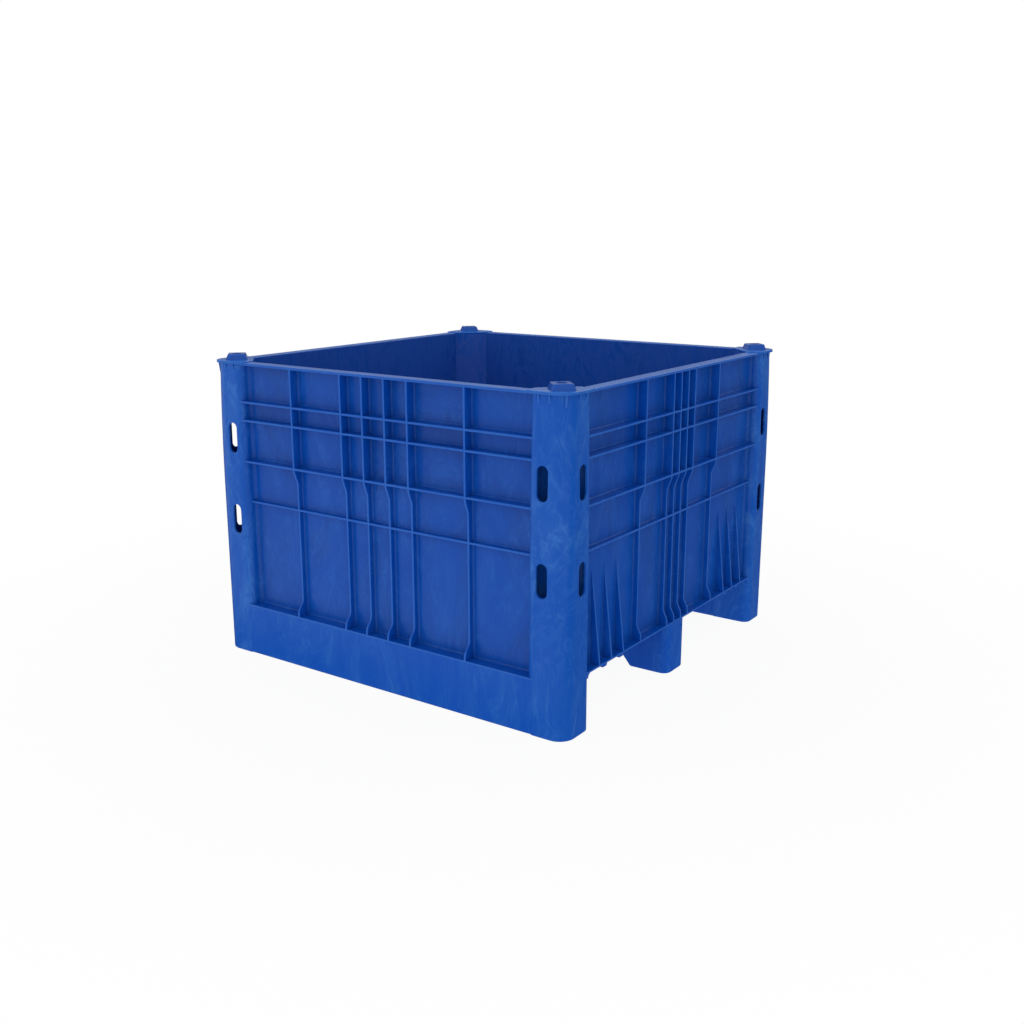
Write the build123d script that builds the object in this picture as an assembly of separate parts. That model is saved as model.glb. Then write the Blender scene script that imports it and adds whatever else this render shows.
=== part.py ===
from build123d import *
from math import atan, degrees, hypot, radians, sqrt, tan
import os

# A square bulk container for harvested fruit: an open-topped tub with ribbed walls between four
# hollow corner posts, standing on a runner along the front and the rear and on two centre feet.
# Forks enter through the left and right sides. Sizes are millimetres, Z is up, the floor is z = 0
# and the origin is the centre of the footprint. The front faces -Y, the fork sides face -X and +X.

# Overall sizes
OVERALL = 1200.0            # across the corner caps, the same both ways
RIM_HEIGHT = 854.5          # floor to the top of the rim

# Corner posts, hollow, with outer faces that are upright below the shoulder and bow in above it
CAP_OVERHANG = 7.6          # edge of a cap beyond the post face at the rim
POST_BOW = 5.3              # how far an outer face has moved in at the rim
SHOULDER = 480.0            # height where the bow starts
FLANK_LEAN = 4.0            # how far the sides next to the walls lean in between floor and rim
POST_WIDTH = 118.0          # each way, at the floor
POST_WALL = 8.0
POST_CORNER_R = 45.0        # outer corner
POST_EDGE_R = 25.0          # edges beside the walls
POST_ROOT_R = 10.0          # fillet between a post's side and the panel beside it
FOOT_EASE = 2.0             # chamfer round the posts and centre feet at the floor

# Slots in the two outer faces of each post
SLOT_INSET = 46.0           # slot centre from the post's side at the floor
SLOT_LENGTH = 85.5
SLOT_WIDTH = 31.0
SLOT_EDGE_R = 3.0           # rounding of the slot's outer rim
SLOT_LOW = 403.0            # height of the lower slot's centre
SLOT_HIGH = 640.0           # height of the upper slot's centre

# Walls
RIM_SETBACK = 1.6           # rim and full-depth ribs behind the post face at the rim
RIM_THICKNESS = 7.0
RIB_DEPTH = 29.0            # full-depth ribs, in front of the panel
RIB_STEP = 13.2             # how much shallower the ribs are below the third level
RIB_THICKNESS = 6.0
RIB_ROOT_R = 5.0            # fillet between ribs and panel
RIB_BEND_R = 25.0           # where the upright ribs step and flare
PANEL_THICKNESS = 10.0
CORNER_STEP = 4.0           # chamfer across an inside corner starts this far before the post's side

# Level ribs, heights of their centres from the top down
RIB_LEVEL_1 = 744.5
RIB_LEVEL_2 = 692.5
RIB_LEVEL_3 = 575.0
RIB_LEVEL_4 = 456.5
STEP_DROP = 8.5             # start of the step in the upright ribs below the third level
STEP_HEIGHT = 33.5          # height over which they step back
FLARE_FOOT = 17.0           # height of their full-depth foot on the sill
FLARE_HEIGHT = 24.0         # height over which they flare out to that foot

# Upright ribs, distances from the middle of the wall
FRONT_RIB_PITCH = 75.5      # group of four, front and rear walls
FRONT_OUTER_RIB = 294.5
SIDE_RIB_PITCH = 41.6       # group of four, fork sides
SIDE_OUTER_RIB = 212.0

# Sill at the foot of the walls, and the tapered fins above it on the fork sides
SILL_TOP = 150.5
SILL_THICKNESS = 5.0
FIN_FIRST = 303.5           # innermost fin from the middle of the wall
FIN_PITCH = 60.5
FIN_COUNT = 3
FIN_TOP = 409.0
FIN_ROOT_R = 2.0            # fillet between fins and panel
FORK_CORNER_R = 12.0        # fillet between the sill and the post at a fork opening

# Corner caps
CAP_RISE = 3.0              # top of a cap above the rim
CAP_THICKNESS = 7.0
CAP_CORNER_R = 48.0
CAP_TAPER = 25.0            # length over which the cap edge runs back to the rim
GUSSET_HEIGHT = 26.0
GUSSET_CORNER_HEIGHT = 29.0
GUSSET_THICKNESS = 5.0
GUSSET_SETBACK = 4.6        # top of a gusset behind the cap's edge
GUSSET_FIRST = 57.0         # gusset from the cap's corner, along each edge
GUSSET_SECOND = 87.0

# Stacking lugs
LUG_INSET = 54.0            # lug centre from the cap's two outer edges
LUG_BASE = 61.0             # across flats
LUG_TOP = 48.0
LUG_CORNER_R = 12.0
LUG_HEIGHT = 15.8
LUG_EDGE_R = 3.0            # rounding of the top edge
LUG_DIMPLE_D = 27.0
LUG_DIMPLE_DEPTH = 5.0

# Floor deck
DECK_THICKNESS = 10.0
DECK_RIB_DEPTH = 14.0
DECK_RIB_COUNT = 9          # ribs each way
RAIL_FIRST = 316.5          # inner rail from the middle line
RAIL_PITCH = 83.5
RAIL_WIDTH = 24.0
RAIL_DROP = 7.0
RAIL_EDGE_R = 5.0

# Runners under the front and rear walls
RUNNER_SETBACK = 0.6        # runner face behind the post face
RUNNER_EASE = 4.5           # chamfer along the floor
RUNNER_WALL = 8.0
RUNNER_WEB_COUNT = 5
RUNNER_WEB = 6.0

# Centre feet under the fork sides
FOOT_WIDTH = 106.0
FOOT_LENGTH = 117.5         # along the floor
FOOT_RAMP = 40.0            # slope of the inner end, degrees from upright
FOOT_CORNER_R = 26.0
FOOT_WALL = 8.0

# Places worked out from the sizes above, as distances from the middle of the container
POST_RIM = OVERALL / 2 - CAP_OVERHANG
POST_OUT = POST_RIM + POST_BOW
FLANK_FLOOR = POST_OUT - POST_WIDTH
FLANK_RIM = FLANK_FLOOR + FLANK_LEAN
RIB_OUT = POST_RIM - RIM_SETBACK
RIB_LOW_OUT = RIB_OUT - RIB_STEP
PANEL_OUT = RIB_OUT - RIB_DEPTH
WALL_IN = PANEL_OUT - PANEL_THICKNESS
CHAMFER_START = FLANK_FLOOR - CORNER_STEP
RUNNER_OUT = POST_OUT - RUNNER_SETBACK
RUNNER_IN = FLANK_FLOOR

# Heights worked out from the sizes above
SILL_BOTTOM = SILL_TOP - SILL_THICKNESS
RIM_BOTTOM = RIM_HEIGHT - RIM_THICKNESS
CAP_TOP = RIM_HEIGHT + CAP_RISE
POST_TOP = CAP_TOP - CAP_THICKNESS
STEP_TOP = RIB_LEVEL_3 - STEP_DROP
STEP_BOTTOM = STEP_TOP - STEP_HEIGHT
FLARE_BOTTOM = SILL_TOP + FLARE_FOOT
FLARE_TOP = FLARE_BOTTOM + FLARE_HEIGHT
DECK_BOTTOM = SILL_BOTTOM + DECK_RIB_DEPTH

LEAN = FLANK_LEAN / RIM_HEIGHT
BOW_RADIUS = hypot(POST_BOW, RIM_HEIGHT - SHOULDER) ** 2 / (2 * POST_BOW)
CUT_MARGIN = 10.0           # how far cutting shapes run past what they cut
FUSE_MARGIN = 1.0           # how far added shapes sink into what they join

CORNERS = {"rear_right": 0, "rear_left": 90, "front_left": 180, "front_right": 270}


def turned(shape, angle):
    """The shape turned about the middle of the container."""
    return Rot(0, 0, angle) * shape


def flank_at(height):
    """Distance of the posts' sides from the middle of the container at a height."""
    return FLANK_FLOOR + LEAN * height


def post_block(inset, bottom, top):
    """Solid post of the rear right corner, with its faces moved in by inset."""
    outer = POST_OUT - inset
    bowed = outer - BOW_RADIUS + sqrt(BOW_RADIUS ** 2 - (top - SHOULDER) ** 2)
    outline = Curve() + [
        Polyline((bowed, top), (flank_at(top) + inset, top), (flank_at(bottom) + inset, bottom)),
        Polyline((flank_at(bottom) + inset, bottom), (outer, bottom), (outer, SHOULDER)),
        TangentArc((outer, SHOULDER), (bowed, top), tangent=(0, 1)),
    ]
    slab = extrude(Plane.XZ * make_face(outline), OVERALL, both=True)
    block = slab & turned(slab, 90)

    middle = POST_OUT - POST_WIDTH / 2
    for sides, radius in ((2, POST_CORNER_R), (1, POST_EDGE_R)):
        uprights = [
            edge for edge in block.edges()
            if edge.bounding_box().size.Z > CUT_MARGIN
            and (edge.center().X > middle) + (edge.center().Y > middle) == sides
        ]
        block = fillet(uprights, radius - inset)
    return block


def tub_corner_wedge(inset, bottom, top):
    """The space on the tub's side of the chamfer across an inside corner."""
    reach = WALL_IN + CHAMFER_START + inset * sqrt(2)
    face = make_face(Polyline((0, 0), (reach, 0), (0, reach), close=True))
    return Pos(0, 0, bottom) * extrude(face, top - bottom)


def post_envelope():
    """Outside of the rear right post, with no hollow or slots: its neighbours are cut to it."""
    block = post_block(0, 0, POST_TOP) - tub_corner_wedge(0, SILL_BOTTOM, POST_TOP)
    corner_wall = make_face(Polyline(
        (PANEL_OUT, FLANK_RIM),
        (WALL_IN, CHAMFER_START),
        (CHAMFER_START, WALL_IN),
        (FLANK_RIM, PANEL_OUT),
        (PANEL_OUT, PANEL_OUT),
        close=True,
    ))
    return block + Pos(0, 0, SILL_BOTTOM) * extrude(corner_wall, POST_TOP - SILL_BOTTOM)


def round_slot_rims(post):
    """The slotted rear right post with the outer rims of its slots rounded."""
    skin = POST_RIM - POST_WALL / 2
    low = SLOT_LOW - SLOT_LENGTH
    high = SLOT_HIGH + SLOT_LENGTH
    rims = []
    for edge in post.edges():
        box = edge.bounding_box()
        outside = box.min.X > skin or box.min.Y > skin
        if outside and low < box.min.Z and box.max.Z < high:
            rims.append(edge)
    return fillet(rims, SLOT_EDGE_R)


def corner_post(envelope):
    """Hollow post with two upright slots through each outer face."""
    high = POST_TOP + CUT_MARGIN
    hollow = post_block(POST_WALL, -CUT_MARGIN, high)
    hollow -= tub_corner_wedge(POST_WALL, SILL_BOTTOM - POST_WALL, high)
    foot_edges = envelope.faces().sort_by(Axis.Z)[0].outer_wire().edges()
    post = chamfer(foot_edges, FOOT_EASE) - hollow
    slot_face = Plane.YZ * SlotOverall(SLOT_LENGTH, SLOT_WIDTH, rotation=90)
    slot_cut = extrude(slot_face, POST_WALL + 2 * CUT_MARGIN)
    slot_start = POST_RIM - POST_WALL - CUT_MARGIN
    slot_centre = FLANK_FLOOR + SLOT_INSET
    for height in (SLOT_LOW, SLOT_HIGH):
        post -= Pos(slot_start, slot_centre, height) * slot_cut
        post -= turned(Pos(slot_start, -slot_centre, height) * slot_cut, 90)
    return round_slot_rims(post)


def cap_plate():
    """Plate over the rear right post, with its overhanging edge and no gussets."""
    edge = OVERALL / 2
    outline = FilletPolyline(
        (WALL_IN, CHAMFER_START),
        (RIB_OUT, CHAMFER_START),
        (edge, CHAMFER_START + CAP_TAPER),
        (edge, edge),
        (CHAMFER_START + CAP_TAPER, edge),
        (CHAMFER_START, RIB_OUT),
        (CHAMFER_START, WALL_IN),
        radius=[0, 0, 0, CAP_CORNER_R, 0, 0, 0],
        close=True,
    )
    return Pos(0, 0, POST_TOP) * extrude(make_face(outline), CAP_THICKNESS)


def cap_gusset(edge, height):
    """Triangular web under a cap edge that lies at x = edge, on the line y = 0."""
    web = make_face(Polyline(
        (edge - GUSSET_SETBACK, POST_TOP + FUSE_MARGIN),
        (edge - GUSSET_SETBACK, POST_TOP),
        (edge - CAP_OVERHANG, POST_TOP - height),
        (edge - CAP_OVERHANG - POST_WALL, POST_TOP - height),
        (edge - CAP_OVERHANG - POST_WALL, POST_TOP + FUSE_MARGIN),
        close=True,
    ))
    return extrude(Plane.XZ * web, GUSSET_THICKNESS / 2, both=True)


def corner_cap(plate, envelope):
    """Cap plate with gussets that stand against the post's faces and its rounded corner."""
    edge = OVERALL / 2
    gussets = []
    edge_gusset = cap_gusset(edge, GUSSET_HEIGHT)
    for distance in (GUSSET_FIRST, GUSSET_SECOND):
        gussets.append(Pos(0, edge - distance, 0) * edge_gusset)
        gussets.append(turned(Pos(0, distance - edge, 0) * edge_gusset, 90))
    arc_centre = edge - CAP_CORNER_R
    corner_gusset = cap_gusset(CAP_CORNER_R, GUSSET_CORNER_HEIGHT)
    gussets.append(Pos(arc_centre, arc_centre, 0) * turned(corner_gusset, 45))
    return plate + [gusset - envelope for gusset in gussets]


def stacking_lug():
    """Tapered lug on the rear right cap, one flat towards the corner, with a dimple on top."""
    base = Rot(0, 0, 45) * RectangleRounded(LUG_BASE, LUG_BASE, LUG_CORNER_R)
    draft = degrees(atan((LUG_BASE - LUG_TOP) / 2 / LUG_HEIGHT))
    lug = extrude(base, LUG_HEIGHT, taper=draft)
    lug = fillet(lug.faces().sort_by(Axis.Z)[-1].edges(), LUG_EDGE_R)
    dimple = extrude(Circle(LUG_DIMPLE_D / 2), LUG_DIMPLE_DEPTH + CUT_MARGIN)
    lug -= Pos(0, 0, LUG_HEIGHT - LUG_DIMPLE_DEPTH) * dimple
    centre = OVERALL / 2 - LUG_INSET
    return Pos(centre, centre, CAP_TOP) * lug


def panel_pocket(left, right, bottom, top):
    """Cutter for one cell between ribs of a wall that faces -Y, rounded along the panel."""
    depth = RIB_DEPTH + RIM_SETBACK + CUT_MARGIN
    cutter = Box(right - left, depth, top - bottom)
    root_edges = cutter.faces().sort_by(Axis.Y)[-1].edges()
    cutter = fillet(root_edges, RIB_ROOT_R)
    return Pos((left + right) / 2, -PANEL_OUT - depth / 2, (bottom + top) / 2) * cutter


def root_strip():
    """Fillet between the panel of a front wall and the leaning flank of the post at its right."""
    flank = flank_at(SILL_TOP)
    tip = PANEL_OUT + POST_ROOT_R
    inner = PANEL_OUT - FUSE_MARGIN
    outline = Curve() + [
        Polyline((flank - POST_ROOT_R, -PANEL_OUT), (flank - POST_ROOT_R, -inner)),
        Polyline((flank - POST_ROOT_R, -inner), (flank + CUT_MARGIN, -inner), (flank + CUT_MARGIN, -tip)),
        Polyline((flank + CUT_MARGIN, -tip), (flank, -tip)),
        RadiusArc((flank, -tip), (flank - POST_ROOT_R, -PANEL_OUT), -POST_ROOT_R),
    ]
    strip = extrude(make_face(outline), RIM_BOTTOM - SILL_TOP, dir=(LEAN, 0, 1))
    return Pos(0, 0, SILL_TOP) * strip


def fork_corner_fillet():
    """Fillet under the sill of a front wall, against the post at its right."""
    flank = flank_at(SILL_BOTTOM)
    low = SILL_BOTTOM - FORK_CORNER_R
    high = SILL_BOTTOM + FUSE_MARGIN
    outline = Curve() + [
        Polyline((flank - FORK_CORNER_R, SILL_BOTTOM), (flank - FORK_CORNER_R, high)),
        Polyline((flank - FORK_CORNER_R, high), (flank + CUT_MARGIN, high), (flank + CUT_MARGIN, low)),
        Polyline((flank + CUT_MARGIN, low), (flank, low)),
        RadiusArc((flank, low), (flank - FORK_CORNER_R, SILL_BOTTOM), -FORK_CORNER_R),
    ]
    block = extrude(Plane.XZ * make_face(outline), RIB_OUT - WALL_IN)
    return Pos(0, -WALL_IN, 0) * block


def tapered_fin():
    """Fin on the sill of a front wall that runs out on the panel, on the line x = 0."""
    half = RIB_THICKNESS / 2
    root = Pos(0, -PANEL_OUT) * Rectangle(2 * (half + FIN_ROOT_R), 2 * FIN_ROOT_R)
    for side in (-1, 1):
        root -= Pos(side * (half + FIN_ROOT_R), -PANEL_OUT - FIN_ROOT_R) * Circle(FIN_ROOT_R)
    web = Pos(0, -(PANEL_OUT + RIB_OUT) / 2) * Rectangle(RIB_THICKNESS, RIB_DEPTH)
    column = Pos(0, 0, SILL_TOP - FUSE_MARGIN) * extrude(root + web, FIN_TOP)
    side_face = make_face(Polyline(
        (FUSE_MARGIN - PANEL_OUT, SILL_TOP - FUSE_MARGIN),
        (-RIB_OUT, SILL_TOP - FUSE_MARGIN),
        (-RIB_OUT, SILL_TOP),
        (-PANEL_OUT, FIN_TOP),
        (FUSE_MARGIN - PANEL_OUT, FIN_TOP),
        close=True,
    ))
    return column & extrude(Plane.YZ * side_face, CUT_MARGIN, both=True)


def ribbed_wall(rib_places, sill_out, fin_places, end_shapes, neighbours):
    """Wall that faces -Y: panel, ribs, rim and sill in one piece, cut to its posts and caps."""
    reach = POST_OUT - POST_CORNER_R
    profile = make_face(FilletPolyline(
        (-WALL_IN, SILL_BOTTOM),
        (-sill_out, SILL_BOTTOM),
        (-sill_out, FLARE_BOTTOM),
        (-RIB_LOW_OUT, FLARE_TOP),
        (-RIB_LOW_OUT, STEP_BOTTOM),
        (-RIB_OUT, STEP_TOP),
        (-RIB_OUT, RIM_HEIGHT),
        (-WALL_IN, RIM_HEIGHT),
        radius=[0, 0, RIB_BEND_R, RIB_BEND_R, RIB_BEND_R, RIB_BEND_R, 0, 0],
        close=True,
    ))
    wall = extrude(Plane.YZ * profile, reach, both=True)

    half = RIB_THICKNESS / 2
    uprights = sorted(rib_places)
    lefts = [-reach - CUT_MARGIN] + [place + half for place in uprights]
    rights = [place - half for place in uprights] + [reach + CUT_MARGIN]
    levels = (RIB_LEVEL_4, RIB_LEVEL_3, RIB_LEVEL_2, RIB_LEVEL_1)
    bottoms = [SILL_TOP] + [level + half for level in levels]
    tops = [level - half for level in levels] + [RIM_BOTTOM]
    wall -= [
        panel_pocket(left, right, bottom, top)
        for left, right in zip(lefts, rights)
        for bottom, top in zip(bottoms, tops)
    ]

    fin = tapered_fin()
    wall += [Pos(place, 0, 0) * fin for place in fin_places]
    for shape in end_shapes:
        wall += [shape, mirror(shape, about=Plane.YZ)]
    return wall - neighbours


def floor_deck():
    """Floor plate cut to the tub's inside, on a grid of ribs, with rails beside the fork paths."""
    half = WALL_IN
    outline = make_face(Polyline(
        (half, -CHAMFER_START),
        (half, CHAMFER_START),
        (CHAMFER_START, half),
        (-CHAMFER_START, half),
        (-half, CHAMFER_START),
        (-half, -CHAMFER_START),
        (-CHAMFER_START, -half),
        (CHAMFER_START, -half),
        close=True,
    ))
    plate = Pos(0, 0, DECK_BOTTOM) * extrude(outline, DECK_THICKNESS)
    pitch = 2 * half / (DECK_RIB_COUNT + 1)
    rib = Box(2 * half, RIB_THICKNESS, DECK_RIB_DEPTH, align=(Align.CENTER, Align.CENTER, Align.MIN))
    ribs = []
    for number in range(DECK_RIB_COUNT):
        place = (number + 1) * pitch - half
        ribs.append(Pos(0, place, SILL_BOTTOM) * rib)
        ribs.append(turned(Pos(0, place, SILL_BOTTOM) * rib, 90))
    tub_space = Pos(0, 0, SILL_BOTTOM) * extrude(outline, DECK_RIB_DEPTH)
    deck = plate + [rib & tub_space for rib in ribs]

    rail = Box(2 * RIB_OUT, RAIL_WIDTH, RAIL_DROP, align=(Align.CENTER, Align.CENTER, Align.MAX))
    low_edges = rail.faces().sort_by(Axis.Z)[0].edges().filter_by(Axis.X)
    rail = Pos(0, 0, SILL_BOTTOM) * fillet(low_edges, RAIL_EDGE_R)
    for place in (RAIL_FIRST, RAIL_FIRST + RAIL_PITCH):
        deck += [Pos(0, place, 0) * rail, Pos(0, -place, 0) * rail]
    return deck


def side_runner(neighbours):
    """Runner under the front wall: a channel with cross webs, open towards the deck."""
    wall = RUNNER_WALL
    section = make_face(Polyline(
        (RUNNER_EASE - RUNNER_OUT, 0),
        (-RUNNER_OUT, RUNNER_EASE),
        (-RUNNER_OUT, SILL_BOTTOM),
        (wall - RUNNER_OUT, SILL_BOTTOM),
        (wall - RUNNER_OUT, wall),
        (-RUNNER_IN - wall, wall),
        (-RUNNER_IN - wall, SILL_BOTTOM),
        (-RUNNER_IN, SILL_BOTTOM),
        (-RUNNER_IN, RUNNER_EASE),
        (-RUNNER_IN - RUNNER_EASE, 0),
        close=True,
    ))
    channel_end = flank_at(SILL_BOTTOM)
    runner = extrude(Plane.YZ * section, channel_end, both=True)

    face_reach = POST_OUT - POST_CORNER_R - channel_end
    face_depth = POST_EDGE_R - RUNNER_SETBACK
    face_section = make_face(Polyline(
        (RUNNER_EASE - RUNNER_OUT, 0),
        (-RUNNER_OUT, RUNNER_EASE),
        (-RUNNER_OUT, SILL_BOTTOM),
        (face_depth - RUNNER_OUT, SILL_BOTTOM),
        (face_depth - RUNNER_OUT, 0),
        close=True,
    ))
    face_end = Pos(channel_end, 0, 0) * extrude(Plane.YZ * face_section, face_reach)
    runner += [face_end, mirror(face_end, about=Plane.YZ)]

    web = Box(
        RUNNER_WEB,
        RUNNER_OUT - RUNNER_IN - 2 * wall,
        SILL_BOTTOM - wall,
        align=(Align.CENTER, Align.MIN, Align.MIN),
    )
    pitch = 2 * channel_end / (RUNNER_WEB_COUNT + 1)
    for number in range(RUNNER_WEB_COUNT):
        runner += Pos((number + 1) * pitch - channel_end, wall - RUNNER_OUT, wall) * web
    return runner - neighbours


def foot_wedge(inset, bottom, top, corner_radius):
    """Centre foot of the right side as a block with a sloped inner end, moved in by inset."""
    slope = tan(radians(FOOT_RAMP))
    front = RIB_OUT - inset
    back = RIB_OUT - FOOT_LENGTH + inset * sqrt(1 + slope ** 2)
    side = make_face(Polyline(
        (front, bottom),
        (front, top),
        (back - slope * top, top),
        (back - slope * bottom, bottom),
        close=True,
    ))
    block = extrude(Plane.XZ * side, FOOT_WIDTH / 2 - inset, both=True)
    front_edges = block.edges().filter_by(Axis.Z).sort_by(Axis.X)[-2:]
    return fillet(front_edges, corner_radius)


def centre_foot():
    """Hollow centre foot under the right wall, open towards the deck."""
    outside = foot_wedge(0, 0, SILL_BOTTOM, FOOT_CORNER_R)
    floor_edges = outside.faces().sort_by(Axis.Z)[0].edges()
    hollow = foot_wedge(FOOT_WALL, FOOT_WALL, SILL_BOTTOM + CUT_MARGIN, FOOT_CORNER_R - FOOT_WALL)
    return chamfer(floor_edges, FOOT_EASE) - hollow


def mirrored_places(*places):
    """Each distance from the middle, on both sides."""
    return [side * place for place in places for side in (-1, 1)]


def build_parts():
    """Every piece of the container by its name."""
    envelope = post_envelope()
    plate = cap_plate()
    post = corner_post(envelope)
    cap = corner_cap(plate, envelope)
    lug = stacking_lug()

    parts = {}
    for corner, angle in CORNERS.items():
        parts["corner_post_" + corner] = turned(post, angle)
        parts["corner_cap_" + corner] = turned(cap, angle)
        parts["stacking_lug_" + corner] = turned(lug, angle)

    front_posts = [turned(envelope, CORNERS["front_left"]), turned(envelope, CORNERS["front_right"])]
    front_caps = [turned(cap, CORNERS["front_left"]), turned(cap, CORNERS["front_right"])]
    neighbours = front_posts + front_caps

    front_ribs = mirrored_places(FRONT_RIB_PITCH / 2, FRONT_RIB_PITCH * 3 / 2, FRONT_OUTER_RIB)
    front_wall = ribbed_wall(front_ribs, RUNNER_OUT, [], [root_strip()], neighbours)
    parts["front_wall"] = front_wall
    parts["rear_wall"] = turned(front_wall, 180)

    side_ribs = mirrored_places(SIDE_RIB_PITCH / 2, SIDE_RIB_PITCH * 3 / 2, SIDE_OUTER_RIB)
    fins = mirrored_places(*[FIN_FIRST + FIN_PITCH * number for number in range(FIN_COUNT)])
    end_shapes = [root_strip(), fork_corner_fillet()]
    fork_wall = ribbed_wall(side_ribs, RIB_OUT, fins, end_shapes, neighbours)
    parts["right_wall"] = turned(fork_wall, 90)
    parts["left_wall"] = turned(fork_wall, 270)

    parts["floor_deck"] = floor_deck()

    runner = side_runner(front_posts)
    parts["front_runner"] = runner
    parts["rear_runner"] = turned(runner, 180)

    foot = centre_foot()
    parts["right_centre_foot"] = foot
    parts["left_centre_foot"] = turned(foot, 180)
    return parts


os.makedirs("parts", exist_ok=True)
for name, part in build_parts().items():
    export_step(part, "parts/" + name + ".step")
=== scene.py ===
import logging
import math
from dataclasses import dataclass
from enum import Enum
from typing import Any, Callable, Dict, List, Optional, Tuple, Union

import bmesh
import bpy
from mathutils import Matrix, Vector


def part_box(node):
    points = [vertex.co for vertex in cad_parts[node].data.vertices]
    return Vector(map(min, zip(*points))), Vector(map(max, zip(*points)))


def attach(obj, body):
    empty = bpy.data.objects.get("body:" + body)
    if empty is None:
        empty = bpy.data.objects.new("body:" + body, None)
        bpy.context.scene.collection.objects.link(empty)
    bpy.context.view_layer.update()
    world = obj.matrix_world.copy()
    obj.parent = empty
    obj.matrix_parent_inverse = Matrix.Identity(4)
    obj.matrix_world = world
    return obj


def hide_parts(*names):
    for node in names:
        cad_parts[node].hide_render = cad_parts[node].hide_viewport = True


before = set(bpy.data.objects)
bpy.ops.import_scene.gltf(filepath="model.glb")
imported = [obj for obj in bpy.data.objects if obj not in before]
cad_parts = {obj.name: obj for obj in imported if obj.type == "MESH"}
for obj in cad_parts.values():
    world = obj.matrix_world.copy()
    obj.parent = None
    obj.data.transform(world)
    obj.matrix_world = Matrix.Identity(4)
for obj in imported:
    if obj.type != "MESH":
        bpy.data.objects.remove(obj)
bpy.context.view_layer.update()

logging.basicConfig(level=logging.INFO, format="%(name)s: %(message)s")
LOG = logging.getLogger("bulk_container")

Colour = Tuple[float, float, float]
Place = Tuple[float, float, float]
Span = Tuple[float, float]
EdgeRule = Callable[[Vector], bool]

BODY = "root"

# Mesh work, in metres and radians
MERGE_DISTANCE = 1e-6
FLAT_ANGLE = math.radians(0.3)
SHARP_ANGLE = math.radians(32.0)
HAIR = 0.0005               # places closer than this count as one
EDGE_SEGMENTS = 2
ROUND_PROFILE = 0.5

# Depths that tell one part of the surface from the next, in metres
DECK_SKIN = 0.0045          # below the deck's top and still inside the tub
RIM_SKIN = 0.0007           # below the top of the rim and still given the painted rim highlight
PANEL_REACH = 0.0117        # from the inside of a wall to just in front of its panel
RIB_REACH = 0.0187          # from the inside of a wall to where its ribs stand clear of the painted shade

# Shader values
NOISE_ROUGHNESS = 0.6
RISE: Span = (0.0, 1.0)
FALL: Span = (1.0, 0.0)
BLACK: Colour = (0.0, 0.0, 0.0)
WHITE: Colour = (1.0, 1.0, 1.0)


class Corner(Enum):
    """The four corners, by the end of their solids' names."""

    FRONT_LEFT = "front_left"
    FRONT_RIGHT = "front_right"
    REAR_LEFT = "rear_left"
    REAR_RIGHT = "rear_right"


class Side(Enum):
    """The four sides, by the start of their solids' names."""

    FRONT = "front"
    REAR = "rear"
    LEFT = "left"
    RIGHT = "right"

    @property
    def has_runner(self) -> bool:
        """Whether a runner closes this side, which otherwise takes the forks."""
        return self in (Side.FRONT, Side.REAR)

    def along(self, point: Vector) -> float:
        """How far a point is from the middle of this side."""
        return abs(point.x) if self.has_runner else abs(point.y)

    def outward(self, point: Vector) -> float:
        """How far a point is from the middle of the container towards this side."""
        return abs(point.y) if self.has_runner else abs(point.x)


class Flow(Enum):
    """How the melt ran in the mould, as the stretch of its swirls along X, Y and Z."""

    CLOUDY = (1.0, 1.0, 1.0)
    UPRIGHT = (1.4, 1.4, 0.6)
    LEVEL = (0.5, 0.5, 1.9)


class Socket:
    """A shader output that can be used in sums, each of which adds a Math node."""

    def __init__(self, graph: "Graph", output: Optional[bpy.types.NodeSocket]) -> None:
        """Wraps one output of a node in the graph, or nothing for a node that has none."""
        self.graph = graph
        self.output = output

    def __add__(self, other: "Value") -> "Socket":
        """self + other"""
        return self.graph.math("ADD", self, other)

    def __radd__(self, other: "Value") -> "Socket":
        """other + self"""
        return self.graph.math("ADD", other, self)

    def __sub__(self, other: "Value") -> "Socket":
        """self - other"""
        return self.graph.math("SUBTRACT", self, other)

    def __rsub__(self, other: "Value") -> "Socket":
        """other - self"""
        return self.graph.math("SUBTRACT", other, self)

    def __mul__(self, other: "Value") -> "Socket":
        """self * other"""
        return self.graph.math("MULTIPLY", self, other)

    def __rmul__(self, other: "Value") -> "Socket":
        """other * self"""
        return self.graph.math("MULTIPLY", other, self)

    def __abs__(self) -> "Socket":
        """abs(self)"""
        return self.graph.math("ABSOLUTE", self, 0.0)

    def between(self, levels: Span) -> "Socket":
        """Turns a share into a level that runs from the first one to the second."""
        return self * (levels[1] - levels[0]) + levels[0]


Value = Union[Socket, float]


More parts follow.
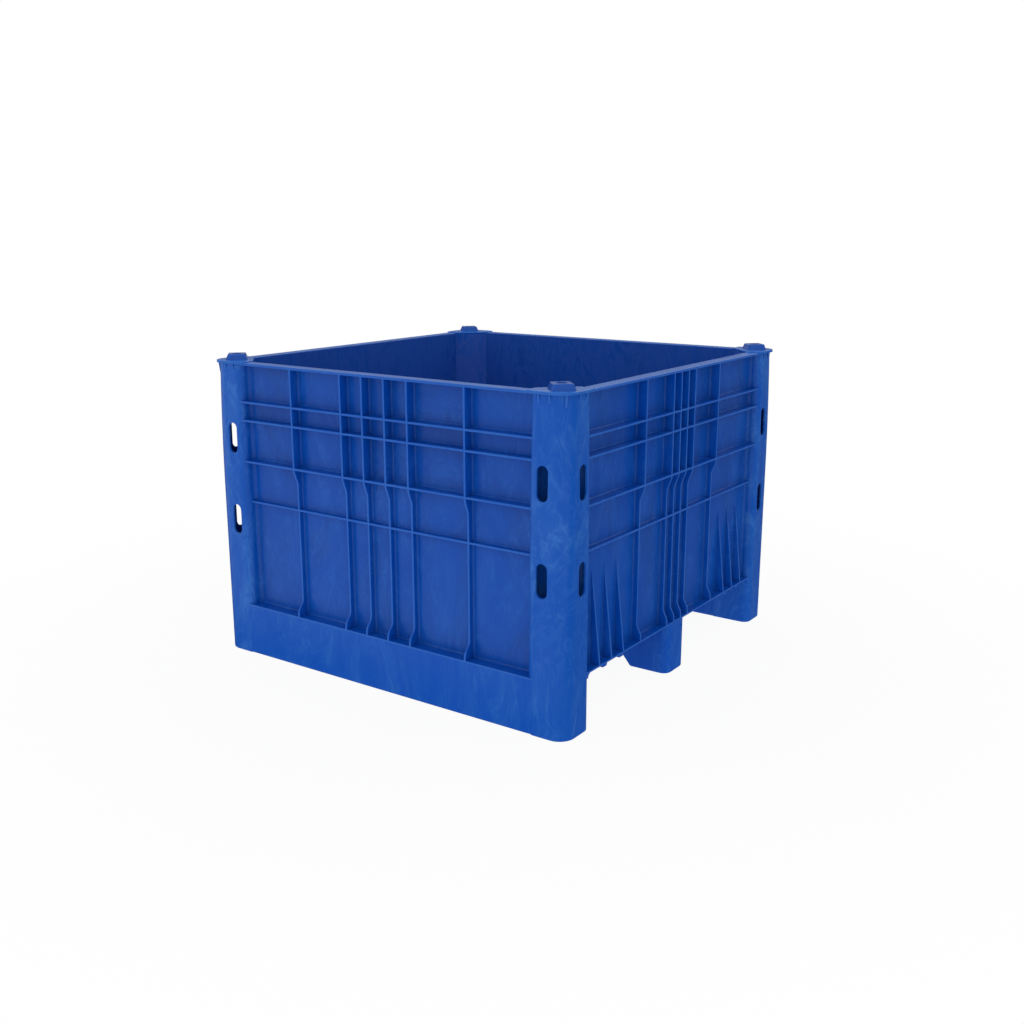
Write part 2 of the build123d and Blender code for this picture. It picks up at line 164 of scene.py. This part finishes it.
class Graph:
    """The nodes of one material or of the world."""

    def __init__(self, tree: bpy.types.NodeTree) -> None:
        """Starts an empty graph in the tree."""
        self.tree = tree
        tree.nodes.clear()

    def node(self, kind: str, settings: Dict[str, Any], inputs: Dict[Any, Any], output: Any = 0) -> Socket:
        """Adds a node.

        Args:
            kind: The node's type.
            settings: Properties of the node, set before its sockets.
            inputs: Socket name or number to a value or a link.
            output: Name or number of the output that is wanted.

        Returns:
            That output, or an empty socket where the node has none.
        """
        made = self.tree.nodes.new(kind)
        for name, value in settings.items():
            setattr(made, name, value)
        for name, value in inputs.items():
            if isinstance(value, Socket):
                self.tree.links.new(value.output, made.inputs[name])
            else:
                made.inputs[name].default_value = value
        return Socket(self, made.outputs[output] if len(made.outputs) else None)

    def math(self, operation: str, first: Value, second: Value) -> Socket:
        """Adds a Math node.

        Args:
            operation: What the node works out.
            first: Its first value.
            second: Its second value.

        Returns:
            The result.
        """
        return self.node("ShaderNodeMath", {"operation": operation}, {0: first, 1: second})

    def mix(self, share: Value, first: Any, second: Any) -> Socket:
        """Blends two colours.

        Args:
            share: How much of the second colour there is.
            first: Colour at share 0.
            second: Colour at share 1.

        Returns:
            The blended colour.
        """
        return self.node("ShaderNodeMix", {"data_type": "RGBA"}, {0: share, 6: first, 7: second}, output=2)

    def noise(self, vector: Socket, scale: float, detail: float, stir: float = 0.0) -> Socket:
        """Adds a noise texture.

        Args:
            vector: Where the texture is looked up.
            scale: Its scale.
            detail: Its octaves.
            stir: How far it is distorted.

        Returns:
            The noise, from 0 to 1.
        """
        return self.node("ShaderNodeTexNoise", {}, {
            "Vector": vector,
            "Scale": scale,
            "Detail": detail,
            "Roughness": NOISE_ROUGHNESS,
            "Distortion": stir,
        })

    def ramp(self, value: Socket, span: Span, levels: Span) -> Socket:
        """Adds a smooth change from one level to another.

        Args:
            value: What the change follows.
            span: Values where it starts and ends.
            levels: Levels at those values.

        Returns:
            The level.
        """
        return self.node("ShaderNodeMapRange", {"interpolation_type": "SMOOTHSTEP"}, {
            "Value": value,
            "From Min": span[0],
            "From Max": span[1],
            "To Min": levels[0],
            "To Max": levels[1],
        })

    def axes(self, vector: Socket) -> List[Socket]:
        """Splits a vector into its three parts."""
        split = self.node("ShaderNodeSeparateXYZ", {}, {0: vector})
        return [Socket(self, part) for part in split.output.node.outputs]

    def coordinates(self, kind: str) -> Socket:
        """Reads one kind of texture coordinates."""
        return self.node("ShaderNodeTexCoord", {}, {}, output=kind)

    def ray(self, kind: str) -> Socket:
        """Reads whether the ray that looks here is of one kind."""
        return self.node("ShaderNodeLightPath", {}, {}, output=kind)


def opaque(colour: Colour) -> Tuple[float, float, float, float]:
    """The colour as an opaque four-part value."""
    return (*colour, 1.0)


@dataclass(frozen=True)
class Marks:
    """The marks of the melt at a point: the plain noise of the streaks, and three shares from 0 to 1."""

    streak: Socket
    patch: Socket
    veil: Socket
    line: Socket


@dataclass(frozen=True)
class Melt:
    """How the plastic is marbled: clouds and streaks on a drifting flow, and a veil over larger areas."""

    flow: Flow
    drift_scale: float = 3.0
    drift_detail: float = 2.0
    drift_reach: float = 0.35
    streak_scale: float = 36.0
    streak_detail: float = 3.0
    streak_stir: float = 1.1
    line_span: Span = (0.44, 0.64)
    cloud_stir: float = 0.8
    patch_scale: float = 7.0
    patch_detail: float = 5.0
    patch_span: Span = (0.40, 0.68)
    veil_scale: float = 3.5
    veil_detail: float = 3.0
    veil_span: Span = (0.42, 0.70)

    def marks(self, graph: Graph, place: Socket) -> Marks:
        """Draws the marks.

        Args:
            graph: Where the nodes go.
            place: Object coordinates.

        Returns:
            The marks at that place.
        """
        flow = self.flow.value
        reach = (self.drift_reach,) * 3
        stretched = graph.node("ShaderNodeVectorMath", {"operation": "MULTIPLY"}, {0: place, 1: flow})
        drift = graph.node("ShaderNodeTexNoise", {}, {
            "Vector": stretched,
            "Scale": self.drift_scale,
            "Detail": self.drift_detail,
        }, output="Color")
        moved = graph.node("ShaderNodeVectorMath", {"operation": "MULTIPLY_ADD"},
                           {0: drift, 1: reach, 2: stretched})
        streak = graph.noise(moved, self.streak_scale, self.streak_detail, self.streak_stir)
        patch = graph.noise(moved, self.patch_scale, self.patch_detail, self.cloud_stir)
        veil = graph.noise(moved, self.veil_scale, self.veil_detail, self.cloud_stir)
        return Marks(
            streak=streak,
            patch=graph.ramp(patch, self.patch_span, RISE),
            veil=graph.ramp(veil, self.veil_span, RISE),
            line=graph.ramp(streak, self.line_span, RISE),
        )


@dataclass(frozen=True)
class Regions:
    """Where a point lies, as shares: inside the tub, on the rim, on a panel, or on an outer face of a rib."""

    inside: Socket
    rim: Socket
    recess: Socket
    ridge: Socket


@dataclass(frozen=True)
class Layout:
    """Limits between the parts of the surface, as distances from the middle and heights."""

    tub_half: float
    tub_corner: float
    tub_floor: float
    rim_top: float
    panel_face: float
    rib_face: float
    outer_span: Span = (0.72, 0.95)

    @classmethod
    def measured(cls) -> "Layout":
        """Works the limits out from the solids, before any piece stands for them.

        Returns:
            The layout of this container.
        """
        wall_low, wall_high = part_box(Side.RIGHT.value + "_wall")
        wall_inside = wall_low[0]
        post_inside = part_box("corner_post_" + Corner.REAR_RIGHT.value)[0][0]
        deck_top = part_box("floor_deck")[1][2]
        return cls(
            tub_half=wall_inside + HAIR,
            tub_corner=wall_inside + post_inside + HAIR,
            tub_floor=deck_top - DECK_SKIN,
            rim_top=wall_high[2] - RIM_SKIN,
            panel_face=wall_inside + PANEL_REACH,
            rib_face=wall_inside + RIB_REACH,
        )

    def regions(self, graph: Graph, place: Socket) -> Regions:
        """Finds where goods scuff the plastic, where shade is painted and where highlights are painted.

        Args:
            graph: Where the nodes go.
            place: Object coordinates.

        Returns:
            The shares at that place.
        """
        x, y, z = graph.axes(place)
        reach = graph.math("MAXIMUM", abs(x), abs(y))
        within = graph.math("LESS_THAN", reach, self.tub_half)
        within_corner = graph.math("LESS_THAN", abs(x) + abs(y), self.tub_corner)
        above_deck = graph.math("GREATER_THAN", z, self.tub_floor)
        recess = graph.ramp(reach, (self.panel_face, self.rib_face), FALL)
        return Regions(
            inside=within * within_corner * above_deck,
            rim=graph.math("GREATER_THAN", z, self.rim_top),
            recess=recess,
            ridge=self._outer_faces(graph, x, y) * (1.0 - recess),
        )

    def _outer_faces(self, graph: Graph, x: Socket, y: Socket) -> Socket:
        """Finds the faces that look straight out from their own side or corner.

        Args:
            graph: Where the nodes go.
            x: Distance to the right of the middle.
            y: Distance behind the middle.

        Returns:
            A share that is 1 on such faces.
        """
        along_x, along_y, _ = graph.axes(graph.coordinates("Normal"))
        on_fork_side = graph.math("GREATER_THAN", abs(x), abs(y))
        from_side = on_fork_side * abs(along_x) + (1.0 - on_fork_side) * abs(along_y)
        from_corner = (abs(along_x) + abs(along_y)) * math.sqrt(0.5)
        return graph.ramp(graph.math("MAXIMUM", from_side, from_corner), self.outer_span, RISE)


@dataclass(frozen=True)
class FoamedPlastic:
    """Blue foamed plastic, marbled by the melt.

    Painted shade darkens the panels between the ribs and everything further in, a painted highlight pales the
    faces that look straight out, goods scuff the inside of the tub, and a painted highlight brightens the
    rim.
    The spans give the strength of a mark outside and inside a cloud or a veil.
    """

    name: str
    layout: Layout
    flow: Flow = Flow.CLOUDY
    cloud: float = 0.5
    panel_shade: float = 0.5
    worn: float = 0.0
    rim_highlight: float = 0.0
    outward_highlight: float = 0.0
    deep: Colour = (0.0005, 0.0650, 0.4000)
    pale: Colour = (0.0140, 0.1010, 0.4400)
    shade_tone: Colour = (0.0050, 0.0560, 0.3050)
    scuffed: Colour = (0.0165, 0.0730, 0.3700)
    rim_highlight_tone: Colour = (0.0150, 0.1400, 0.5700)
    patch_share: float = 0.45
    line_share: Span = (0.25, 0.60)
    shade_share: Span = (0.4, 1.0)
    bare_share: Span = (0.4, 0.9)
    rim_highlight_share: Span = (0.9, 1.1)
    roughness: float = 0.22
    mark_roughness: float = 0.03
    veil_roughness: float = 0.05
    specular: float = 0.18
    grain_scale: float = 240.0
    grain_detail: float = 3.0
    grain_share: float = 0.6
    bump_strength: float = 0.06
    bump_distance: float = 0.001

    def material(self) -> bpy.types.Material:
        """Makes the material.

        Returns:
            The material, with its marks on object coordinates.
        """
        made = bpy.data.materials.new(self.name)
        made.use_nodes = True
        graph = Graph(made.node_tree)
        place = graph.coordinates("Object")
        marks = Melt(self.flow).marks(graph, place)
        regions = self.layout.regions(graph, place)
        mark = self._mark(marks, regions)
        grain = graph.noise(place, self.grain_scale, self.grain_detail)
        bump = graph.node("ShaderNodeBump", {}, {
            "Strength": self.bump_strength,
            "Distance": self.bump_distance,
            "Height": grain * self.grain_share + marks.streak * (1.0 - self.grain_share),
        })
        surface = graph.node("ShaderNodeBsdfPrincipled", {}, {
            "Base Color": self._colour(graph, mark, marks, regions),
            "Roughness": self.roughness + mark * self.mark_roughness + marks.veil * self.veil_roughness,
            "Specular IOR Level": self.specular,
            "Normal": bump,
        })
        graph.node("ShaderNodeOutputMaterial", {}, {"Surface": surface})
        return made

    def _mark(self, marks: Marks, regions: Regions) -> Socket:
        """Finds how much of the pale tone shows.

        Args:
            marks: The marks of the melt.
            regions: Where they lie.

        Returns:
            The share of the pale tone, from the melt's swirls and from chafing.
        """
        clouds = marks.patch * self.patch_share
        streaks = marks.line * marks.patch.between(self.line_share)
        swirl = self.cloud * (clouds + streaks)
        # Painted highlight: faces that look straight out are paled, so rib faces and cap gussets read as lit.
        return swirl * (1.0 - regions.inside) + self.outward_highlight * regions.ridge

    def _colour(self, graph: Graph, mark: Socket, marks: Marks, regions: Regions) -> Socket:
        """Lays the tones over each other.

        Args:
            graph: Where the nodes go.
            mark: The share of the pale tone.
            marks: The marks of the melt.
            regions: Where they lie.

        Returns:
            The colour of the plastic.
        """
        # Painted shade: the panels between the ribs and everything further in are darkened towards the shade
        # tone, varied by the veil.
        painted_shade = self.panel_shade * regions.recess * marks.veil.between(self.shade_share)
        scuff = self.worn * regions.inside * (1.0 - marks.line * marks.patch.between(self.bare_share))
        # Painted highlight: the top of the rim, apart from outward faces, is brightened towards a paler blue,
        # patchy through the clouds.
        painted_rim_highlight = self.rim_highlight * regions.rim * (1.0 - regions.ridge) * marks.patch.between(self.rim_highlight_share)
        body = graph.mix(painted_shade, opaque(self.deep), opaque(self.shade_tone))
        aged = graph.mix(scuff, body, opaque(self.scuffed))
        marked = graph.mix(mark, aged, opaque(self.pale))
        return graph.mix(painted_rim_highlight, marked, opaque(self.rim_highlight_tone))


class Moulding:
    """A merged copy of one solid, worked on with mesh operators until it stands for that solid."""

    def __init__(self, node: str, name: str) -> None:
        """Copies a solid's mesh, drops its stored normals and joins its loose triangles into whole faces.

        Args:
            node: Name of the solid.
            name: Name of the new piece.
        """
        self.node = node
        self.object = bpy.data.objects.new(name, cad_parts[node].data.copy())
        bpy.context.scene.collection.objects.link(self.object)
        self._pick()
        bpy.ops.mesh.customdata_custom_splitnormals_clear()
        self._open()
        bpy.ops.mesh.select_all(action="SELECT")
        bpy.ops.mesh.remove_doubles(threshold=MERGE_DISTANCE)
        bpy.ops.mesh.dissolve_limited(angle_limit=FLAT_ANGLE)
        self._close()

    def _pick(self) -> None:
        """Selects this piece alone."""
        bpy.ops.object.select_all(action="DESELECT")
        self.object.select_set(True)
        bpy.context.view_layer.objects.active = self.object

    def _open(self) -> None:
        """Goes into edit mode on this piece alone."""
        self._pick()
        bpy.ops.object.mode_set(mode="EDIT")
        bpy.ops.mesh.select_mode(type="EDGE")

    def _close(self) -> None:
        """Comes back to object mode."""
        bpy.ops.object.mode_set(mode="OBJECT")

    def soften(self, rule: EdgeRule, width: float, segments: int = EDGE_SEGMENTS) -> None:
        """Rounds the outward edges that a rule picks by the middle of the edge.

        Args:
            rule: Says whether an edge with this middle is rounded.
            width: Width of the rounding.
            segments: Steps across it.
        """
        self._open()
        bpy.ops.mesh.select_all(action="DESELECT")
        work = bmesh.from_edit_mesh(self.object.data)
        count = 0
        for edge in work.edges:
            if len(edge.link_faces) != 2:
                continue
            if edge.calc_face_angle_signed() < SHARP_ANGLE:
                continue
            if rule((edge.verts[0].co + edge.verts[1].co) / 2):
                edge.select_set(True)
                count += 1
        bmesh.update_edit_mesh(self.object.data)
        if count:
            bpy.ops.mesh.bevel(offset_type="OFFSET", offset=width, segments=segments, profile=ROUND_PROFILE,
                               affect="EDGES", clamp_overlap=False)
        self._close()
        LOG.info("%s: %d edges rounded", self.object.name, count)

    def soften_top(self, width: float, segments: int = EDGE_SEGMENTS) -> None:
        """Rounds the outward edges at the very top of the solid.

        Args:
            width: Width of the rounding.
            segments: Steps across it.
        """
        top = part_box(self.node)[1][2]
        self.soften(lambda middle: middle.z > top - HAIR, width, segments)

    def dress(self, finish: bpy.types.Material) -> None:
        """Gives the piece its finish, smooths its shading and puts it in the solid's place.

        Args:
            finish: Material of the piece.
        """
        self.object.data.materials.clear()
        self.object.data.materials.append(finish)
        self._pick()
        bpy.ops.object.shade_smooth_by_angle(angle=SHARP_ANGLE)
        bpy.ops.object.modifier_add(type="WEIGHTED_NORMAL")
        self.object.modifiers[-1].keep_sharp = True
        bpy.ops.object.modifier_apply(modifier=self.object.modifiers[-1].name)
        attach(self.object, BODY)
        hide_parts(self.node)
        LOG.info("%s: %d faces", self.object.name, len(self.object.data.polygons))


@dataclass
class Walls:
    """The four ribbed walls, with thin rounded edges on their ribs and sill and a rounder rim."""

    finish: FoamedPlastic
    edge: float = 0.0009
    rim_edge: float = 0.0030
    rim_segments: int = 4
    end: float = 0.474
    foot_height: float = 0.006
    slot: str = "walls"

    def build(self) -> None:
        """Makes and dresses the walls."""
        plastic = self.finish.material()
        for side in Side:
            node = side.value + "_wall"
            wall = Moulding(node, node + "_moulding")
            wall.soften_top(self.rim_edge, self.rim_segments)
            wall.soften(self._edges(side), self.edge)
            wall.dress(plastic)

    def _edges(self, side: Side) -> EdgeRule:
        """Makes the rule for the edges of one wall.

        Args:
            side: Where the wall is.

        Returns:
            A rule that leaves out the rim, the ends and whatever lies on the deck or a runner.
        """
        low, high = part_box(side.value + "_wall")
        face = side.outward(Vector(low if side in (Side.FRONT, Side.LEFT) else high))
        below_rim = high[2] - self.rim_edge - HAIR
        above_foot = low[2] + self.foot_height

        def free(middle: Vector) -> bool:
            """Whether an edge is clear of the wall's neighbours."""
            if side.along(middle) > self.end or middle.z > below_rim:
                return False
            if middle.z >= above_foot:
                return True
            return not side.has_runner and side.outward(middle) > face - HAIR

        return free


@dataclass
class Posts:
    """The four hollow corner posts."""

    finish: FoamedPlastic
    slot: str = "posts"

    def build(self) -> None:
        """Makes and dresses the posts."""
        plastic = self.finish.material()
        for corner in Corner:
            post = Moulding("corner_post_" + corner.value, "post_" + corner.value)
            post.dress(plastic)


@dataclass
class Caps:
    """The four corner caps, with rounded lips over the posts."""

    finish: FoamedPlastic
    lip: float = 0.0018
    lip_segments: int = 3
    slot: str = "caps"

    def build(self) -> None:
        """Makes and dresses the caps."""
        plastic = self.finish.material()
        for corner in Corner:
            cap = Moulding("corner_cap_" + corner.value, "cap_" + corner.value)
            cap.soften_top(self.lip, self.lip_segments)
            cap.dress(plastic)


@dataclass
class Lugs:
    """The four stacking lugs, with a rounded edge round the dimple on top."""

    finish: FoamedPlastic
    dimple_edge: float = 0.0008
    slot: str = "lugs"

    def build(self) -> None:
        """Makes and dresses the lugs."""
        plastic = self.finish.material()
        for corner in Corner:
            lug = Moulding("stacking_lug_" + corner.value, "lug_" + corner.value)
            lug.soften_top(self.dimple_edge)
            lug.dress(plastic)


@dataclass
class Base:
    """The deck, the two runners and the two centre feet."""

    finish: FoamedPlastic
    deck_finish: FoamedPlastic
    edge: float = 0.001
    rail_height: float = 0.0055
    foot_span: Span = (0.002, 0.14)
    slot: str = "base"
    deck_slot: str = "deck"

    def build(self) -> None:
        """Makes and dresses the pieces under the walls."""
        plastic = self.finish.material()
        self._deck()
        for side in Side:
            node = side.value + ("_runner" if side.has_runner else "_centre_foot")
            piece = Moulding(node, node + "_moulding")
            if not side.has_runner:
                piece.soften(lambda middle: self.foot_span[0] < middle.z < self.foot_span[1], self.edge)
            piece.dress(plastic)

    def _deck(self) -> None:
        """Makes and dresses the deck, with rounded edges on the rails below it."""
        deck = Moulding("floor_deck", "deck_moulding")
        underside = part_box("floor_deck")[0][2]
        deck.soften(lambda middle: middle.z < underside + self.rail_height, self.edge)
        deck.dress(self.deck_finish.material())


@dataclass
class Studio:
    """Camera, floor and even surroundings.

    The surroundings are even, but a little brighter in front and darker overhead. Levels are how bright the
    floor is to the object, and reflections are what glossy faces see instead. Spans are places on the floor,
    and for the horizon a height in the surroundings.
    """

    camera_place: Place = (1.9638, -2.7714, 1.2243)
    camera_aim: Place = (-0.55648, 0.79477, -0.24222)
    lens: float = 40.336
    sensor: float = 36.0
    surround: float = 0.97
    front_lift: float = 0.14
    top_drop: float = 0.14
    sky_reflection: float = 0.78
    horizon: Span = (0.12, 0.20)
    floor_size: float = 60.0
    floor_paint: Colour = (0.86, 0.86, 0.86)
    floor_share: float = 0.9
    floor_level: float = 1.17
    right_level: float = 0.88
    right_start: Span = (0.6, 1.0)
    right_front: Span = (-1.2, -0.5)
    front_reflection: float = 0.70
    right_reflection: float = 0.05
    front_span: Span = (-1.0, -0.6)
    rear_span: Span = (0.6, 1.0)
    rear_end: Span = (0.4, 0.7)
    shadow_share: float = 0.94
    shadow_span: Span = (0.9, 2.4)

    def build(self) -> None:
        """Makes everything round the object."""
        bpy.context.scene.view_settings.view_transform = "Standard"
        self._camera()
        self._world()
        self._floor()

    def _camera(self) -> None:
        """Makes the camera at the viewpoint of the picture."""
        data = bpy.data.cameras.new("camera")
        data.lens = self.lens
        data.sensor_width = self.sensor
        camera = bpy.data.objects.new("camera", data)
        camera.location = self.camera_place
        camera.rotation_euler = Vector(self.camera_aim).to_track_quat("-Z", "Y").to_euler()
        bpy.context.scene.collection.objects.link(camera)
        bpy.context.scene.camera = camera

    def _world(self) -> None:
        """Makes even surroundings that look white from the camera and have a dark edge in reflections."""
        world = bpy.data.worlds.new("studio")
        world.use_nodes = True
        bpy.context.scene.world = world
        graph = Graph(world.node_tree)
        seen = graph.ray("Is Camera Ray")
        mirrored = graph.ray("Is Glossy Ray")
        _, depth, height = graph.axes(graph.coordinates("Generated"))
        sky = graph.ramp(height, self.horizon, (0.0, self.sky_reflection))
        even = self.surround - depth * self.front_lift - height * self.top_drop
        unseen = even * (1.0 - mirrored) + sky * mirrored
        strength = seen + (1.0 - seen) * unseen
        light = graph.node("ShaderNodeBackground", {}, {"Color": opaque(WHITE), "Strength": strength})
        graph.node("ShaderNodeOutputWorld", {}, {"Surface": light})

    def _floor(self) -> None:
        """Makes the pale floor."""
        bpy.ops.object.select_all(action="DESELECT")
        bpy.ops.mesh.primitive_plane_add(size=self.floor_size)
        floor = bpy.context.object
        floor.name = "floor"
        floor.data.materials.append(self._floor_finish())

    def _floor_finish(self) -> bpy.types.Material:
        """Makes the floor's finish, which looks white, keeps a soft shadow and sends light back up.

        Returns:
            The material.
        """
        made = bpy.data.materials.new("pale_floor")
        made.use_nodes = True
        graph = Graph(made.node_tree)
        place = graph.coordinates("Object")
        reach = graph.node("ShaderNodeVectorMath", {"operation": "LENGTH"}, {0: place}, output="Value")
        x, y, _ = graph.axes(place)
        seen = graph.ray("Is Camera Ray")
        plain = graph.ramp(reach, self.shadow_span, (self.shadow_share, 1.0))
        share = seen * plain + (1.0 - seen) * self.floor_share
        level = (seen + (1.0 - seen) * self._unseen_level(graph, x, y)) * (1.0 / self.floor_level)
        tone = graph.mix(level, opaque(BLACK), opaque(WHITE))
        lit = graph.node("ShaderNodeBsdfDiffuse", {}, {"Color": opaque(self.floor_paint)})
        glow = graph.node("ShaderNodeEmission", {}, {"Color": tone, "Strength": self.floor_level})
        blend = graph.node("ShaderNodeMixShader", {}, {0: share, 1: lit, 2: glow})
        graph.node("ShaderNodeOutputMaterial", {}, {"Surface": blend})
        return made

    def _unseen_level(self, graph: Graph, x: Socket, y: Socket) -> Socket:
        """Finds how bright the floor is to everything but the camera.

        Args:
            graph: Where the nodes go.
            x: Distance to the right of the middle.
            y: Distance behind the middle.

        Returns:
            The level, which is lower beside the right wall, and in reflections nearly dark but at the front
            and at the rear.
        """
        mirrored = graph.ray("Is Glossy Ray")
        beside = graph.ramp(x, self.right_start, RISE) * graph.ramp(y, self.right_front, RISE)
        glow_level = self.floor_level - beside * (self.floor_level - self.right_level)
        front = graph.ramp(y, self.front_span, (self.front_reflection, 0.0))
        rear = graph.ramp(y, self.rear_span, (0.0, self.front_reflection))
        left_of_end = graph.ramp(x, self.rear_end, FALL)
        mirror_level = front + rear * left_of_end + self.right_reflection
        return glow_level * (1.0 - mirrored) + mirror_level * mirrored


def main() -> None:
    """Builds the container and the studio round it."""
    layout = Layout.measured()
    wall_plastic = FoamedPlastic(
        "wall_plastic", layout, Flow.UPRIGHT, cloud=0.6, panel_shade=1.0, worn=0.9, rim_highlight=0.9, outward_highlight=0.7,
    )
    # Painted light: the posts' tones are written lighter than the walls', standing in for the brighter light
    # on the open post faces.
    lit_post_plastic = FoamedPlastic(
        "lit_post_plastic", layout, Flow.UPRIGHT, cloud=1.15, panel_shade=0.0, worn=0.9,
        deep=(0.0015, 0.0720, 0.4000), pale=(0.0200, 0.1200, 0.4550), scuffed=(0.0320, 0.0900, 0.4100),
    )
    cap_plastic = FoamedPlastic(
        "cap_plastic", layout, rim_highlight=0.9, outward_highlight=0.6,
        pale=(0.0180, 0.1180, 0.4550), rim_highlight_tone=(0.0300, 0.1650, 0.6000),
    )
    lug_plastic = FoamedPlastic(
        "lug_plastic", layout, rim_highlight=0.2, deep=(0.0100, 0.0760, 0.3900), pale=(0.0240, 0.1010, 0.4100),
    )
    base_plastic = FoamedPlastic(
        "base_plastic", layout, Flow.UPRIGHT, cloud=0.9, panel_shade=0.2, pale=(0.0100, 0.1010, 0.4250),
    )
    deck_plastic = FoamedPlastic("deck_plastic", layout, Flow.LEVEL, worn=0.6)
    pieces = (
        Walls(wall_plastic),
        Posts(lit_post_plastic),
        Caps(cap_plastic),
        Lugs(lug_plastic),
        Base(base_plastic, deck_plastic),
    )
    for piece in pieces:
        LOG.info("building %s", type(piece).__name__)
        piece.build()
    Studio().build()


if __name__ == "__main__":
    main()
